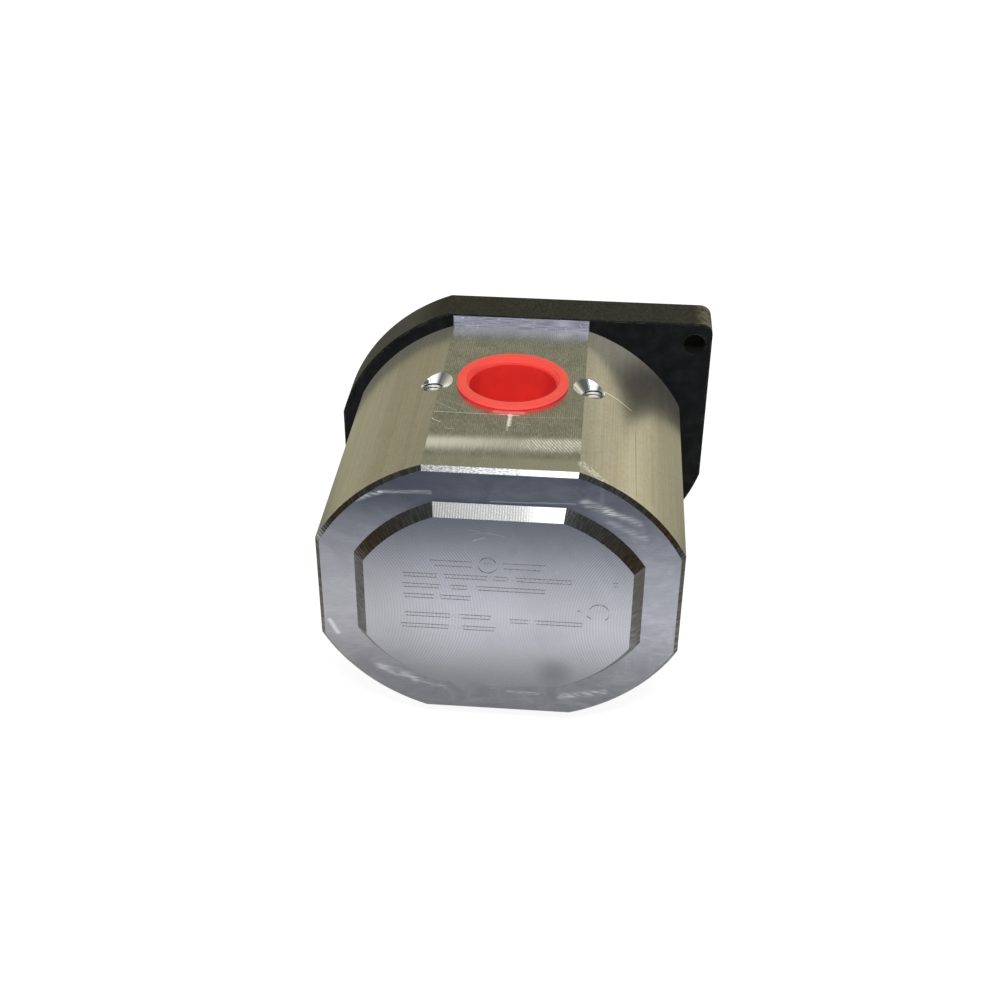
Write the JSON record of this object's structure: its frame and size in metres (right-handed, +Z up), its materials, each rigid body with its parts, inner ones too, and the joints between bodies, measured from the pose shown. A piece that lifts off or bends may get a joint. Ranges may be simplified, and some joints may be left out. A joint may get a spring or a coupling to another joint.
{
  "type": "hydraulic gear pump",
  "caption": "Hydraulic gear pump: flat-sided rounded aluminium body, black flange with opposite square ears, keyed taper shaft, top and bottom ports closed by push-in red caps.",
  "frame": {"origin": "on the drive shaft's axis, in the plane of the flange's mounting face", "axes": "+Y out of the pump along the drive shaft, so the body is at negative Y; +Z up, out of the suction port; +X from the drive gear towards the driven gear"},
  "size_m": [0.1901, 0.2321, 0.1476],
  "materials": {
    "body_aluminium": "milled, fine tool marks",
    "flange_iron": "thin black paint over a cast skin",
    "screw_steel": "black oxide",
    "washer_steel": "zinc plated",
    "ground_steel": "ground",
    "seal_rubber": "satin",
    "shaft_seal_rubber": "satin",
    "block_aluminium": "fine turned",
    "bush_bronze": "satin",
    "backup_plastic": "satin",
    "spring_steel": "oiled",
    "key_steel": "milled",
    "nut_steel": "yellow zinc",
    "plug_red": "semi-gloss"
  },
  "bodies": {
    "housing": {"pump_body": "body_aluminium", "mounting_flange": "flange_iron", "flange_screws": "screw_steel", "flange_screw_washers": "washer_steel", "dowel_pins": "ground_steel", "joint_seal_ring": "seal_rubber", "front_bearing_block": "block_aluminium", "rear_bearing_block": "block_aluminium", "front_drive_bush": "bush_bronze", "front_driven_bush": "bush_bronze", "rear_drive_bush": "bush_bronze", "rear_driven_bush": "bush_bronze", "front_pressure_seal": "seal_rubber", "front_backup_ring": "backup_plastic", "rear_pressure_seal": "seal_rubber", "rear_backup_ring": "backup_plastic", "inner_shaft_seal": "shaft_seal_rubber", "outer_shaft_seal": "shaft_seal_rubber", "seal_garter_springs": "spring_steel", "seal_spacer": "washer_steel", "seal_retaining_ring": "spring_steel"},
    "drive_shaft": {"drive_gear_shaft": "ground_steel", "shaft_key": "key_steel", "shaft_washer": "washer_steel", "shaft_nut": "nut_steel"},
    "driven_shaft": {"driven_gear": "ground_steel"},
    "suction_plug": {"suction_port_plug": "plug_red"},
    "pressure_plug": {"pressure_port_plug": "plug_red"}
  },
  "joints": [
    {"name": "drive_spin", "type": "hinge", "parent": "housing", "child": "drive_shaft", "pos_m": [0, 0, 0], "axis": [0, 1, 0], "continuous": true},
    {"name": "driven_spin", "type": "hinge", "parent": "housing", "child": "driven_shaft", "pos_m": [0.05771, 0, 0], "axis": [0, 1, 0], "continuous": true},
    {"name": "suction_plug_pull", "type": "slide", "parent": "housing", "child": "suction_plug", "axis": [0, 0, 1], "range_m": [0, 0.03]},
    {"name": "pressure_plug_pull", "type": "slide", "parent": "housing", "child": "pressure_plug", "axis": [0, 0, -1], "range_m": [0, 0.03]}
  ],
  "couplings": [
    {"joint": "driven_spin", "follows": "drive_spin", "ratio": -1}
  ]
}
